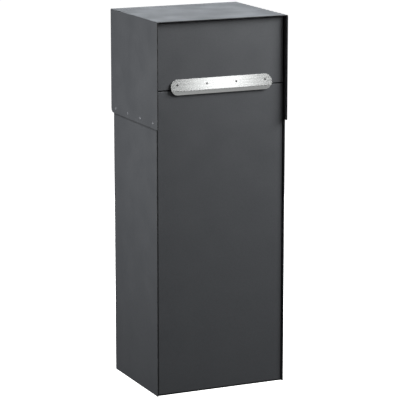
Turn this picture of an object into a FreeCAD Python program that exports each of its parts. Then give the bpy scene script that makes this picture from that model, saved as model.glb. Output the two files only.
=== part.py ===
import FreeCAD, Part
import math
import os
import re

import Sketcher
from FreeCAD import Placement, Rotation, Vector

# Free-standing parcel drop box, in millimetres.
# +Z is up, the front faces -Y, and +X is to the right for someone who faces the front.
# The origin is the middle of the footprint, on the ground.

doc = FreeCAD.newDocument("parcel_drop_box")

# ---------------------------------------------------------------------------
# Driving dimensions
# ---------------------------------------------------------------------------
SIZES = {
    # overall
    "hood_width": 400,
    "hood_depth": 338,
    "total_height": 1070,
    "hood_drop": 300,
    "seam_height": 876,
    # sheet thicknesses
    "hood_sheet": 2,
    "body_sheet": 2,
    "panel_sheet": 1.5,
    "handle_sheet": 1.5,
    "bend_radius": 3,
    "panel_bend": 1.2,
    # how the body sits inside the hood
    "front_overhang": 10,
    "rear_overhang": 12,
    "face_recess": 6,
    "hood_rear_corner": 13,
    "hood_front_corner": 4,
    # gaps round the panels and the flap
    "side_gap": 3,
    "top_gap": 4,
    "seam_gap": 3,
    "ground_gap": 4,
    # rivets between hood and body
    "rivet_pitch": 90,
    "rivet_first": 35,
    "rivet_rise": 14.5,
    "rivet_head": 4,
    "rivet_dome": 1,
    "rivet_shank": 2.4,
    "rivet_tail": 0.8,
    "rivet_relief": 4,
    # base
    "base_flange": 30,
    "base_setback": 3,
    "anchor_spacing_x": 300,
    "anchor_spacing_y": 200,
    "anchor_centre": 20,
    "anchor_hole": 6,
    "sill_height": 28,
    "sill_foot": 20,
    "sill_setback": 35,
    # front panel, its jambs and the head rail
    "front_flange": 16,
    "sill_plate_depth": 35,
    "jamb_face": 12,
    "jamb_depth": 25,
    "head_setback": 35,
    "head_depth": 22,
    "head_drop": 24,
    "stiffener_width": 60,
    "stiffener_depth": 12,
    "stiffener_brim": 12,
    "stiffener_margin": 55,
    # rear door and its hinge
    "opening_half": 170,
    "opening_low": 34,
    "opening_high": 850,
    "door_flange": 14,
    "hinge_inset": 22,
    "hinge_setback": 9,
    "hinge_pin": 4,
    "hinge_clearance": 0.08,
    "hinge_sheet": 3,
    "hinge_plate_half": 12,
    "hinge_plate_leg": 20,
    "hinge_plate_gap": 1,
    "hinge_pin_reach": 9,
    "bush_wall": 1.5,
    "bush_brim": 1.2,
    "bush_brim_radius": 6.8,
    # deposit flap
    "flap_depth": 17,
    "flap_return": 6,
    "flap_pivot_setback": 10,
    "flap_pivot_drop": 20,
    "flap_pivot_margin": 8,
    "flap_stop": 2,
    "rod_radius": 3,
    "running_clearance": 0.05,
    "bracket_sheet": 2,
    "bracket_boss": 6,
    "bracket_foot": 14,
    # surround behind the flap
    "surround_half": 189,
    "surround_flange": 26,
    "surround_top": 24,
    "throat_half": 150,
    "throat_sill": 10,
    "throat_head": 14,
    # hopper
    "hopper_clearance": 12.5,
    "hopper_skirt": 2,
    "hopper_flange": 5,
    "hopper_head": 4,
    # tray and its links
    "tray_pivot_back": 263,
    "tray_pivot_rise": 29,
    "tray_length": 222,
    "tray_offset": 8,
    "tray_lip": 8,
    "tray_side_gap": 1,
    "pin_radius": 3,
    "pin_head": 5,
    "pin_head_height": 1.5,
    "link_arm": 46,
    "link_sheet": 2,
    "link_half": 6,
    "link_gap": 0.5,
    "open_pivot_clearance": 0.3,
    "edge_strip_depth": 6,
    "edge_strip_wall": 1.5,
    # grip strip
    "handle_length": 311,
    "handle_top": 905.5,
    "handle_fold": 873.8,
    "handle_bottom": 862.5,
    "handle_proud": 6.5,
    "lip_angle": 8,
    "stud_inset": 20.5,
    "stud_height": 890.5,
    "stud_shank": 2,
    "stud_head": 2.6,
    "stud_head_height": 0.9,
    "stud_nut": 4.5,
    "stud_nut_height": 3,
    "spacer_radius": 4.5,
    # cam lock and the rail that its cam holds
    "lock_from_centre": 145,
    "lock_height": 450,
    "lock_thread": 8,
    "lock_flange": 9.4,
    "lock_flange_height": 2.5,
    "lock_length": 19,
    "lock_nut_radius": 11.2,
    "lock_nut_height": 3,
    "plug_radius": 5.5,
    "plug_clearance": 0.08,
    "key_slot_width": 1.2,
    "key_slot_length": 7,
    "key_slot_depth": 8,
    "cam_length": 23,
    "cam_half": 7,
    "cam_sheet": 2,
    "cam_gap": 0.5,
    "cam_screw_head": 5,
    "cam_screw_height": 2.5,
    "strike_lip": 16,
    "strike_offset": 6,
    # rubber
    "bumper_radius": 5,
    "bumper_gap": 0.3,
    "bumper_step": 250,
    "bumper_first": 200,
}

# Places that follow from the driving dimensions. Names on the right are the ones above.
LAYOUT = {
    "half_width": "hood_width / 2",
    "hood_front": "-hood_depth / 2",
    "hood_back": "hood_depth / 2",
    "hood_under": "total_height - hood_sheet",
    "hood_edge": "total_height - hood_drop",
    "body_half": "half_width - hood_sheet",
    "inner_half": "body_half - body_sheet",
    "body_front": "hood_front + front_overhang",
    "body_back": "hood_back - rear_overhang",
    "wall_back": "body_back - body_sheet",
    "rivet_height": "hood_edge + rivet_rise",
    # front plane and the edges round it
    "face": "body_front + face_recess",
    "inside_face": "face + panel_sheet",
    "front_half": "inner_half - side_gap",
    "panel_top": "seam_height - seam_gap / 2",
    "panel_back": "face + front_flange",
    "head_y": "face + head_setback",
    "flap_bottom": "seam_height + seam_gap / 2",
    "flap_top": "hood_under - top_gap",
    "flap_back": "face + flap_depth",
    # rear door, flush in its opening
    "door_half": "opening_half - side_gap",
    "door_low": "opening_low + side_gap",
    "door_high": "opening_high - side_gap",
    "door_skin": "body_back - panel_sheet",
    "door_edge": "body_back - door_flange",
    "hinge_x": "opening_half - hinge_inset",
    "hinge_y": "body_back - hinge_setback",
    "bush_radius": "hinge_pin + hinge_clearance + bush_wall",
    "lower_plate_top": "opening_low - hinge_plate_gap",
    "upper_plate_low": "opening_high + hinge_plate_gap",
    "hinge_plate_front": "hinge_y - hinge_pin - hinge_plate_gap - hinge_pin",
    # surround and hopper
    "surround_front": "flap_back + flap_stop",
    "surround_back": "surround_front + panel_sheet",
    "surround_head": "hood_under - surround_top",
    "throat_bottom": "panel_top + throat_sill",
    "throat_top": "surround_head - throat_head",
    "sill_back": "face + sill_plate_depth",
    "hopper_rear": "tray_y + hopper_clearance + panel_sheet",
    "hopper_bottom": "panel_top + panel_sheet + hopper_skirt",
    "hopper_top": "surround_head - hopper_head",
    # flap pivot, tray pivot and the two equal arms
    "pivot_y": "face + flap_pivot_setback",
    "pivot_z": "hood_under - flap_pivot_drop",
    "tray_y": "face + tray_pivot_back",
    "tray_z": "seam_height + tray_pivot_rise",
    "link_run": "tray_y - pivot_y",
    "link_fall": "pivot_z - tray_z",
    "link_length": "sqrt(link_run ^ 2 + link_fall ^ 2)",
    "link_tilt": "atan(link_fall / link_run)",
    "tray_half": "throat_half - tray_side_gap",
    "tray_inner": "tray_half - panel_sheet",
    "link_outer": "tray_inner - link_gap",
    "link_inner": "link_outer - link_sheet",
    # grip strip
    "plate_rise": "handle_top - handle_fold",
    "plate_lean": "atan(handle_proud / plate_rise)",
    "plate_length": "plate_rise / cos(plate_lean)",
    "fold_y": "face - handle_proud",
    "lip_length": "(handle_fold - handle_bottom) / cos(lip_angle)",
    "lip_y": "fold_y + lip_length * sin(lip_angle)",
    "handle_middle": "(handle_top + handle_bottom) / 2",
    "handle_round": "(handle_top - handle_bottom) / 2 + handle_sheet / 2",
    "handle_run": "handle_length / 2 - handle_round",
    "stud_pitch": "(handle_length / 2 - stud_inset) / 1.5",
    "trim_half": "handle_length / 2 + 5",
    "trim_low": "handle_bottom - 10",
    "trim_high": "handle_top + 10",
    "plate_back": "face - handle_proud * (handle_top - stud_height) / plate_rise",
    "plate_front": "plate_back - handle_sheet / cos(plate_lean)",
    # lock, and the rail it holds on to
    "lock_outer": "body_back + lock_flange_height",
    "lock_inner": "body_back - lock_length",
    "cam_outer": "lock_inner - cam_gap",
    "cam_inner": "cam_outer - cam_sheet",
    "rail_inner": "cam_outer + cam_gap",
    "rail_outer": "rail_inner + panel_sheet",
    "rail_leg": "opening_half + strike_offset",
}


def filled_sheet(name, cells):
    """A spreadsheet with one named cell per row."""
    table = doc.addObject("Spreadsheet::Sheet", name)
    for row, (alias, content) in enumerate(cells.items(), start=1):
        table.set("A%d" % row, alias)
        table.set("B%d" % row, content)
        table.setAlias("B%d" % row, alias)
    doc.recompute()
    return table


def bound(text):
    """An expression whose plain names are led by the sheet that holds them."""
    def lead(match):
        word = match.group()
        if word in SIZES:
            return "Sizes." + word
        if word in LAYOUT:
            return "Layout." + word
        return word
    return re.sub(r"[a-z]\w*", lead, text)


sizes = filled_sheet("Sizes", {name: str(value) for name, value in SIZES.items()})
layout = filled_sheet("Layout", {name: "=" + bound(text) for name, text in LAYOUT.items()})
parts = {}


# ---------------------------------------------------------------------------
# Small helpers: every size and place goes in as an expression
# ---------------------------------------------------------------------------
def bind(item, **settings):
    """Bind properties of an object; a double underscore in a name stands for a dot."""
    for prop, text in settings.items():
        item.setExpression(prop.replace("__", "."), bound(text))


def put(item, x, y, z):
    """Bind the base point of an object's placement."""
    bind(item, Placement__Base__x=x, Placement__Base__y=y, Placement__Base__z=z)


TURNS = {
    "x": Rotation(Vector(0, 1, 0), 90),
    "y": Rotation(Vector(1, 0, 0), -90),
    "z": Rotation(),
}


def sheet_body(label):
    """An empty body that becomes one sub-part."""
    body = doc.addObject("PartDesign::Body", label)
    body.Label = label
    parts[label] = body
    return body


def block(body, name, x, y, z, cut=False):
    """A box feature between bounds; each of x, y and z is a pair of expressions."""
    kind = "PartDesign::SubtractiveBox" if cut else "PartDesign::AdditiveBox"
    box = body.newObject(kind, name)
    box.Refine = True
    put(box, x[0], y[0], z[0])
    bind(box, Length="(%s) - (%s)" % (x[1], x[0]), Width="(%s) - (%s)" % (y[1], y[0]),
         Height="(%s) - (%s)" % (z[1], z[0]))
    return box


def drum(body, name, axis, start, radius, length, cut=False):
    """A cylinder feature along x, y or z from its start point."""
    kind = "PartDesign::SubtractiveCylinder" if cut else "PartDesign::AdditiveCylinder"
    item = body.newObject(kind, name)
    item.Refine = True
    item.Placement = Placement(Vector(), TURNS[axis])
    put(item, *start)
    bind(item, Radius=radius, Height=length)
    return item


def rounded(body, name, radius, chosen):
    """Fillet the edges of the body's tip that the chosen function accepts."""
    doc.recompute()
    base = body.Tip
    names = ["Edge%d" % (number + 1) for number, edge in enumerate(base.Shape.Edges) if chosen(edge)]
    fillet = body.newObject("PartDesign::Fillet", name)
    fillet.Base = (base, names)
    bind(fillet, Radius=radius)
    body.Tip = fillet
    doc.recompute()
    return fillet


def at(name):
    """The present value of a size or a place."""
    table = sizes if name in SIZES else layout
    return float(table.get(name))


def runs_along(edge, direction):
    """Whether a straight edge runs along an axis."""
    if edge.Curve.TypeId != "Part::GeomLine":
        return False
    return abs(abs(edge.Curve.Direction.dot(direction)) - 1) < 1e-6


def near(value, target):
    return abs(value - target) < 1e-4


def flat_sketch(body, name, role):
    """A sketch on one of the body's own origin planes."""
    sketch = body.newObject("Sketcher::SketchObject", name)
    plane = [item for item in body.Origin.OriginFeatures if item.Role == role][0]
    sketch.AttachmentSupport = [(plane, "")]
    sketch.MapMode = "FlatFace"
    return sketch


def pin_point(sketch, geometry, point, tag, across, up):
    """Fix a point of a sketch by its two coordinates."""
    present = sketch.getPoint(geometry, point)
    rows = (("x", "DistanceX", across, present.x), ("y", "DistanceY", up, present.y))
    for letter, kind, text, value in rows:
        index = sketch.addConstraint(Sketcher.Constraint(kind, geometry, point, value))
        sketch.renameConstraint(index, tag + letter)
        sketch.setExpression("Constraints." + tag + letter, bound(text))


def ring(sketch, tag, across, up, radius):
    """A circle of a sketch with a bound centre and radius."""
    index = sketch.addGeometry(Part.Circle(Vector(1, 1, 0), Vector(0, 0, 1), 1), False)
    pin_point(sketch, index, 3, tag, across, up)
    size = sketch.addConstraint(Sketcher.Constraint("Radius", index, 1.0))
    sketch.renameConstraint(size, tag + "r")
    sketch.setExpression("Constraints." + tag + "r", bound(radius))


def slot_outline(sketch, tag, half_run, half_height, up):
    """A long round-ended outline about the vertical axis of a sketch, from three named places."""
    right, size, mid = at(half_run), at(half_height), at(up)
    left = -right
    top = sketch.addGeometry(
        Part.LineSegment(Vector(left, mid + size, 0), Vector(right, mid + size, 0)), False)
    low = sketch.addGeometry(
        Part.LineSegment(Vector(right, mid - size, 0), Vector(left, mid - size, 0)), False)
    turn = math.pi / 2
    ends = []
    for centre, first in ((right, -turn), (left, turn)):
        circle = Part.Circle(Vector(centre, mid, 0), Vector(0, 0, 1), size)
        ends.append(sketch.addGeometry(Part.ArcOfCircle(circle, first, first + math.pi), False))
    east, west = ends
    joins = ((top, 2, east, 2), (east, 1, low, 1), (low, 2, west, 2), (west, 1, top, 1))
    for first, first_end, second, second_end in joins:
        sketch.addConstraint(Sketcher.Constraint("Tangent", first, first_end, second, second_end))
    sketch.addConstraint(Sketcher.Constraint("Equal", east, west))
    pin_point(sketch, east, 3, tag + "e", half_run, up)
    pin_point(sketch, west, 3, tag + "w", "-" + half_run, up)
    radius = sketch.addConstraint(Sketcher.Constraint("Radius", east, size))
    sketch.renameConstraint(radius, tag + "r")
    sketch.setExpression("Constraints." + tag + "r", bound(half_height))


def frame_outline(sketch, tag, half_width, low, high):
    """A rectangle about the vertical axis of a sketch."""
    wide, deep, tall = at(half_width), at(low), at(high)
    corners = [Vector(-wide, deep, 0), Vector(wide, deep, 0), Vector(wide, tall, 0), Vector(-wide, tall, 0)]
    sides = []
    for number in range(4):
        line = Part.LineSegment(corners[number], corners[(number + 1) % 4])
        sides.append(sketch.addGeometry(line, False))
    for number in range(4):
        follower = sides[(number + 1) % 4]
        sketch.addConstraint(Sketcher.Constraint("Coincident", sides[number], 2, follower, 1))
    for number, kind in enumerate(("Horizontal", "Vertical", "Horizontal", "Vertical")):
        sketch.addConstraint(Sketcher.Constraint(kind, sides[number]))
    pin_point(sketch, sides[0], 1, tag + "a", "-" + half_width, low)
    pin_point(sketch, sides[2], 1, tag + "b", half_width, high)


def rod(name, axis, start, radius, length):
    """A loose cylinder along x, y or z."""
    item = doc.addObject("Part::Cylinder", name)
    item.Placement = Placement(Vector(), TURNS[axis])
    put(item, *start)
    bind(item, Radius=radius, Height=length)
    return item


def joined(name, pieces):
    """Several touching pieces as one solid."""
    item = doc.addObject("Part::MultiFuse", name)
    item.Shapes = pieces
    return item


def less(name, base, tool):
    """One piece with another cut out of it."""
    item = doc.addObject("Part::Cut", name)
    item.Base = base
    item.Tool = tool
    return item


def group(label, pieces):
    """Several separate solids that make one sub-part."""
    item = doc.addObject("Part::Compound", label)
    item.Label = label
    item.Links = pieces
    parts[label] = item
    return item


def single(label, item):
    """A loose solid that is a sub-part by itself."""
    item.Label = label
    parts[label] = item
    return item


SIDES = (("left", "-"), ("right", ""))


def outward(sign, near_end, far_end):
    """The low and high x bounds of a piece that lies between two distances from the middle."""
    if sign:
        return ("-(%s)" % far_end, "-(%s)" % near_end)
    return (near_end, far_end)


# ---------------------------------------------------------------------------
# Cabinet shell: back and two sides folded from one sheet
# ---------------------------------------------------------------------------
def cabinet_shell():
    body = sheet_body("cabinet_shell")
    for side, sign in SIDES:
        block(body, "wall_" + side, outward(sign, "inner_half", "body_half"),
              ("body_front", "body_back"), ("0", "hood_under"))
    block(body, "back", ("-body_half", "body_half"), ("wall_back", "body_back"), ("0", "hood_under"))
    vertical = Vector(0, 0, 1)
    rounded(body, "outer_bends", "bend_radius", lambda edge: runs_along(edge, vertical)
            and near(edge.CenterOfMass.y, at("body_back")))
    rounded(body, "inner_bends", "bend_radius - body_sheet", lambda edge: runs_along(edge, vertical)
            and near(edge.CenterOfMass.y, at("wall_back"))
            and near(abs(edge.CenterOfMass.x), at("inner_half")))
    block(body, "door_opening", ("-opening_half", "opening_half"), ("wall_back - 1", "body_back + 1"),
          ("opening_low", "opening_high"), cut=True)
    for number in range(4):
        along = "hood_front + rivet_first + %d * rivet_pitch" % number
        drum(body, "rivet_hole_%d" % number, "x", ("-body_half - 1", along, "rivet_height"),
             "rivet_shank", "2 * body_half + 2", cut=True)


# ---------------------------------------------------------------------------
# Hood: one sheet folded over the top, its sides hanging outside the body
# ---------------------------------------------------------------------------
def hood():
    body = sheet_body("hood")
    length = ("hood_front", "hood_back")
    block(body, "top", ("-half_width", "half_width"), length, ("hood_under", "total_height"))
    for side, sign in SIDES:
        block(body, "side_" + side, outward(sign, "body_half", "half_width"), length,
              ("hood_edge", "total_height"))
    deep = Vector(0, 1, 0)
    rounded(body, "outer_bends", "bend_radius", lambda edge: runs_along(edge, deep)
            and near(edge.CenterOfMass.z, at("total_height")))
    across = Vector(1, 0, 0)
    for name, place, size in (("rear_corners", "hood_back", "hood_rear_corner"),
                              ("front_corners", "hood_front", "hood_front_corner")):
        rounded(body, name, size, lambda edge, place=place: runs_along(edge, across)
                and near(edge.CenterOfMass.z, at("hood_edge"))
                and near(edge.CenterOfMass.y, at(place)))
    for number in range(4):
        along = "hood_front + rivet_first + %d * rivet_pitch" % number
        drum(body, "rivet_hole_%d" % number, "x", ("-half_width - 1", along, "rivet_height"),
             "rivet_shank", "2 * half_width + 2", cut=True)


def hood_rivets():
    """Four low domed rivets through each side of the hood and the body behind it."""
    ball = "(rivet_head ^ 2 + rivet_dome ^ 2) / (2 * rivet_dome)"
    for side, sign in SIDES:
        rivets = []
        for number in range(4):
            tag = "%s_%d" % (side, number)
            along = "hood_front + rivet_first + %d * rivet_pitch" % number
            dome = doc.addObject("Part::Sphere", "dome_" + tag)
            dome.Placement = Placement(Vector(), Rotation(Vector(0, 1, 0), -90 if sign else 90))
            put(dome, "%s(half_width + rivet_dome - %s)" % (sign, ball), along, "rivet_height")
            bind(dome, Radius=ball, Angle1="asin(1 - rivet_dome / (%s))" % ball)
            low, high = outward(sign, "inner_half", "half_width")
            shank = rod("shank_" + tag, "x", (low, along, "rivet_height"), "rivet_shank",
                        "(%s) - (%s)" % (high, low))
            low, high = outward(sign, "inner_half - rivet_tail", "inner_half")
            tail = rod("tail_" + tag, "x", (low, along, "rivet_height"), "1.3 * rivet_shank", "rivet_tail")
            rivets.append(joined("rivet_" + tag, [dome, shank, tail]))
        group("hood_rivets_" + side, rivets)


# ---------------------------------------------------------------------------
# Base plate, front sill, jambs and head rail
# ---------------------------------------------------------------------------
def base_plate():
    body = sheet_body("base_plate")
    front = "face + base_setback"
    block(body, "floor", ("-inner_half", "inner_half"), (front, "wall_back"), ("0", "body_sheet"))
    for side, sign in SIDES:
        block(body, "flange_" + side, outward(sign, "inner_half - body_sheet", "inner_half"),
              ("face + sill_setback + sill_foot", "wall_back - bend_radius"), ("0", "base_flange"))
    block(body, "flange_back", ("-inner_half + bend_radius", "inner_half - bend_radius"),
          ("wall_back - body_sheet", "wall_back"), ("0", "base_flange"))
    for side, sign in SIDES:
        block(body, "relief_" + side, outward(sign, "inner_half - bend_radius", "inner_half + 1"),
              ("wall_back - bend_radius", "wall_back + 1"), ("-1", "base_flange + 1"), cut=True)
    sketch = flat_sketch(body, "anchor_layout", "XY_Plane")
    for column, across in (("l", "-anchor_spacing_x / 2"), ("r", "anchor_spacing_x / 2")):
        for row, sign in (("f", "-"), ("b", "+")):
            along = "anchor_centre %s anchor_spacing_y / 2" % sign
            ring(sketch, "hole" + column + row, across, along, "anchor_hole")
    doc.recompute()
    holes = body.newObject("PartDesign::Pocket", "anchor_holes")
    holes.Profile = sketch
    holes.Type = "ThroughAll"
    holes.Midplane = True
    body.Tip = holes


def front_sill():
    """Angle behind the front panel's lower edge."""
    body = sheet_body("front_sill")
    start = "face + sill_setback"
    reach = ("-inner_half", "inner_half")
    block(body, "upright", reach, (start, start + " + body_sheet"), ("body_sheet", "sill_height"))
    block(body, "foot", reach, (start, start + " + sill_foot"), ("body_sheet", "2 * body_sheet"))


def jambs():
    """Angles up the inside of each wall that carry the front panel."""
    for side, sign in SIDES:
        body = sheet_body("jamb_" + side)
        span = ("sill_height", "panel_top - panel_sheet")
        block(body, "leg", outward(sign, "inner_half - panel_sheet", "inner_half"),
              ("panel_back", "panel_back + jamb_depth"), span)
        block(body, "lip", outward(sign, "inner_half - jamb_face", "inner_half"),
              ("panel_back", "panel_back + panel_sheet"), span)
        low, high = outward(sign, "inner_half - panel_sheet - 1", "inner_half + 1")
        drum(body, "rivet_relief", "x", (low, "hood_front + rivet_first", "rivet_height"),
             "rivet_relief", "(%s) - (%s)" % (high, low), cut=True)


def head_rail():
    """Channel under the hood, between the walls; the surround hangs from it."""
    body = sheet_body("head_rail")
    reach = ("-inner_half", "inner_half")
    span = ("hood_under - head_drop", "hood_under")
    back = "head_y + head_depth"
    block(body, "front", reach, ("head_y", "head_y + panel_sheet"), span)
    block(body, "web", reach, ("head_y", back), ("hood_under - panel_sheet", "hood_under"))
    block(body, "rear", reach, (back + " - panel_sheet", back), span)


# ---------------------------------------------------------------------------
# Front panel, fixed between the walls below the flap
# ---------------------------------------------------------------------------
def front_panel():
    body = sheet_body("front_panel")
    width = ("-front_half", "front_half")
    block(body, "skin", width, ("face", "inside_face"), ("ground_gap", "panel_top"))
    for side, sign in SIDES:
        block(body, "flange_" + side, outward(sign, "front_half - panel_sheet", "front_half"),
              ("face", "panel_back"), ("ground_gap", "panel_top"))
    block(body, "flange_bottom", width, ("face", "panel_back"), ("ground_gap", "ground_gap + panel_sheet"))
    block(body, "sill_plate", width, ("face", "sill_back"), ("panel_top - panel_sheet", "panel_top"))
    rounded(body, "bends", "panel_bend", lambda edge: near(edge.CenterOfMass.y, at("face")))


def hat_section(label, skin, crown, low, high):
    """Hat section up the middle of a panel, from its skin to the crown's outer face."""
    body = sheet_body(label)
    half = "stiffener_width / 2"
    span = (low + " + stiffener_margin", high + " - stiffener_margin")
    ahead = crown + " > " + skin
    near_skin = "(%s ? %s : %s - panel_sheet)" % (ahead, skin, skin)
    near_crown = "(%s ? %s - panel_sheet : %s)" % (ahead, crown, crown)
    depth = ("min(%s; %s)" % (skin, crown), "max(%s; %s)" % (skin, crown))
    block(body, "crown", ("-" + half, half), (near_crown, near_crown + " + panel_sheet"), span)
    for side, sign in SIDES:
        block(body, "web_" + side, outward(sign, half + " - panel_sheet", half), depth, span)
        block(body, "brim_" + side, outward(sign, half + " - panel_sheet", half + " + stiffener_brim"),
              (near_skin, near_skin + " + panel_sheet"), span)


def stiffeners():
    hat_section("front_stiffener", "inside_face", "inside_face + stiffener_depth", "ground_gap", "panel_top")
    hat_section("door_stiffener", "door_skin", "door_skin - stiffener_depth", "door_low", "door_high")


# ---------------------------------------------------------------------------
# Rear door: flush pan in the shell's opening, on two pins
# ---------------------------------------------------------------------------
def rear_door():
    body = sheet_body("rear_door")
    width = ("-door_half", "door_half")
    depth = ("door_edge", "body_back")
    block(body, "skin", width, ("door_skin", "body_back"), ("door_low", "door_high"))
    for side, sign in SIDES:
        block(body, "flange_" + side, outward(sign, "door_half - panel_sheet", "door_half"), depth,
              ("door_low", "door_high"))
    block(body, "flange_bottom", width, depth, ("door_low", "door_low + panel_sheet"))
    block(body, "flange_top", width, depth, ("door_high - panel_sheet", "door_high"))
    rounded(body, "bends", "panel_bend", lambda edge: near(edge.CenterOfMass.y, at("body_back")))
    for name, level in (("lower", "door_low"), ("upper", "door_high - panel_sheet")):
        drum(body, "bush_seat_" + name, "z", ("hinge_x", "hinge_y", level + " - 0.5"), "bush_radius",
             "panel_sheet + 1", cut=True)
    drum(body, "lock_hole", "y", ("-lock_from_centre", "door_skin - 1", "lock_height"),
         "lock_thread", "panel_sheet + 2", cut=True)


def hinge_plates():
    """Angle brackets above and below the opening, each with a seat for its pin."""
    width = ("hinge_x - hinge_plate_half", "hinge_x + hinge_plate_half")
    low, high = "lower_plate_top", "upper_plate_low"
    layouts = (
        ("hinge_plate_lower", low + " - hinge_sheet", low + " - hinge_plate_leg", low,
         "wall_back - body_sheet"),
        ("hinge_plate_upper", high, high, high + " + hinge_plate_leg", "wall_back"),
    )
    for label, shelf, bottom, top, seat in layouts:
        body = sheet_body(label)
        block(body, "shelf", width, ("hinge_plate_front", seat), (shelf, shelf + " + hinge_sheet"))
        block(body, "leg", width, (seat + " - hinge_sheet", seat), (bottom, top))
        drum(body, "pin_seat", "z", ("hinge_x", "hinge_y", shelf + " - 1"), "hinge_pin", "hinge_sheet + 2",
             cut=True)


def door_pins():
    lower = rod("lower_pin", "z", ("hinge_x", "hinge_y", "lower_plate_top - hinge_sheet"), "hinge_pin",
                "hinge_sheet + hinge_plate_gap + side_gap + hinge_pin_reach")
    single("door_pin_lower", lower)
    upper = rod("upper_pin", "z", ("hinge_x", "hinge_y", "door_high - hinge_pin_reach"), "hinge_pin",
                "upper_plate_low + hinge_sheet - door_high + hinge_pin_reach")
    single("door_pin_upper", upper)


def door_washer():
    """Plain washer on the lower plate that carries the door's bush."""
    start = ("hinge_x", "hinge_y", "lower_plate_top")
    height = "door_low - bush_brim - lower_plate_top"
    disc = rod("washer_disc", "z", start, "bush_brim_radius", height)
    bore = rod("washer_bore", "z", start, "hinge_pin", height)
    single("door_washer", less("washer", disc, bore))


def door_bushes():
    """Flanged bushes in the door's bottom and top flanges."""
    bushes = []
    levels = (("lower", "door_low", "door_low - bush_brim"),
              ("upper", "door_high - panel_sheet", "door_high"))
    for name, level, brim_level in levels:
        brim = rod("bush_brim_" + name, "z", ("hinge_x", "hinge_y", brim_level), "bush_brim_radius",
                   "bush_brim")
        sleeve = rod("bush_sleeve_" + name, "z", ("hinge_x", "hinge_y", level), "bush_radius", "panel_sheet")
        bore = rod("bush_bore_" + name, "z", ("hinge_x", "hinge_y", level + " - bush_brim - 1"),
                   "hinge_pin + hinge_clearance", "panel_sheet + 2 * bush_brim + 2")
        bushes.append(less("bush_" + name, joined("bush_blank_" + name, [brim, sleeve]), bore))
    group("door_bushes", bushes)


def lock_rail():
    """Angle beside the opening that stops the door and holds the cam."""
    body = sheet_body("lock_rail")
    span = ("opening_low", "opening_high")
    block(body, "leg", ("-rail_leg", "-rail_leg + panel_sheet"), ("rail_inner", "wall_back"), span)
    block(body, "lip", ("-rail_leg", "-rail_leg + strike_lip"), ("rail_inner", "rail_outer"), span)
    block(body, "foot", ("-rail_leg - strike_offset", "-rail_leg + panel_sheet"),
          ("wall_back - panel_sheet", "wall_back"), span)


# ---------------------------------------------------------------------------
# Surround, throat and hopper behind the flap
# ---------------------------------------------------------------------------
def flap_surround():
    """Frame plate behind the flap, with the throat cut through it."""
    body = sheet_body("flap_surround")
    width = ("-surround_half", "surround_half")
    rear = "surround_front + surround_flange"
    block(body, "plate", width, ("surround_front", "surround_back"), ("panel_top", "surround_head"))
    for side, sign in SIDES:
        block(body, "flange_" + side, outward(sign, "surround_half - panel_sheet", "surround_half"),
              ("surround_front", rear), ("panel_top", "surround_head"))
    block(body, "flange_top", width, ("surround_front", rear),
          ("surround_head - panel_sheet", "surround_head"))
    block(body, "foot", width, ("surround_front", "sill_back"), ("panel_top", "panel_top + panel_sheet"))
    block(body, "throat", ("-throat_half", "throat_half"), ("surround_front - 1", "surround_back + 1"),
          ("throat_bottom", "throat_top"), cut=True)


def hopper_shell():
    """Two sides and a back behind the throat, with narrow flanges on the surround."""
    body = sheet_body("hopper_shell")
    span = ("hopper_bottom", "hopper_top")
    outer = "throat_half + panel_sheet"
    for side, sign in SIDES:
        block(body, "side_" + side, outward(sign, "throat_half", outer),
              ("surround_back", "hopper_rear"), span)
        block(body, "flange_" + side, outward(sign, "throat_half", outer + " + hopper_flange"),
              ("surround_back", "surround_back + panel_sheet"), span)
    block(body, "back", ("-(%s)" % outer, outer), ("hopper_rear - panel_sheet", "hopper_rear"), span)
    drum(body, "pivot_holes", "x", ("-(%s) - 1" % outer, "tray_y", "tray_z"), "pin_radius",
         "2 * (%s) + 2" % outer, cut=True)


def flap_hinge_brackets():
    """Two ears on the surround that hold the flap's hinge rod."""
    ears = []
    plate = "surround_half - 1"
    for side, sign in SIDES:
        low, high = outward(sign, plate + " - bracket_sheet", plate)
        ear = doc.addObject("Part::Box", "ear_box_" + side)
        put(ear, low, "pivot_y - bracket_boss", "pivot_z - flap_pivot_drop - bracket_foot")
        bind(ear, Length="bracket_sheet", Width="surround_front - pivot_y + bracket_boss",
             Height="flap_pivot_drop + bracket_foot")
        boss = rod("ear_boss_" + side, "x", (low, "pivot_y", "pivot_z"), "bracket_boss", "bracket_sheet")
        low, high = outward(sign, plate + " - bracket_foot", plate)
        foot = doc.addObject("Part::Box", "ear_foot_" + side)
        put(foot, low, "surround_front - bracket_sheet", "pivot_z - flap_pivot_drop - bracket_foot")
        bind(foot, Length="bracket_foot", Width="bracket_sheet",
             Height="surround_head - pivot_z + flap_pivot_drop + bracket_foot")
        bore = rod("ear_bore_" + side, "x", ("%s(%s) - 20" % (sign, plate), "pivot_y", "pivot_z"),
                   "rod_radius", "40")
        ears.append(less("ear_" + side, joined("ear_blank_" + side, [ear, boss, foot]), bore))
    group("flap_hinge_brackets", ears)


def flap_hinge_rod():
    axle = rod("flap_axle", "x", ("-front_half", "pivot_y", "pivot_z"), "rod_radius", "2 * front_half")
    single("flap_hinge_rod", axle)


# ---------------------------------------------------------------------------
# Deposit flap and its grip strip
# ---------------------------------------------------------------------------
STUDS = ("-1.5 * stud_pitch", "-0.5 * stud_pitch", "0.5 * stud_pitch", "1.5 * stud_pitch")


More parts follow.
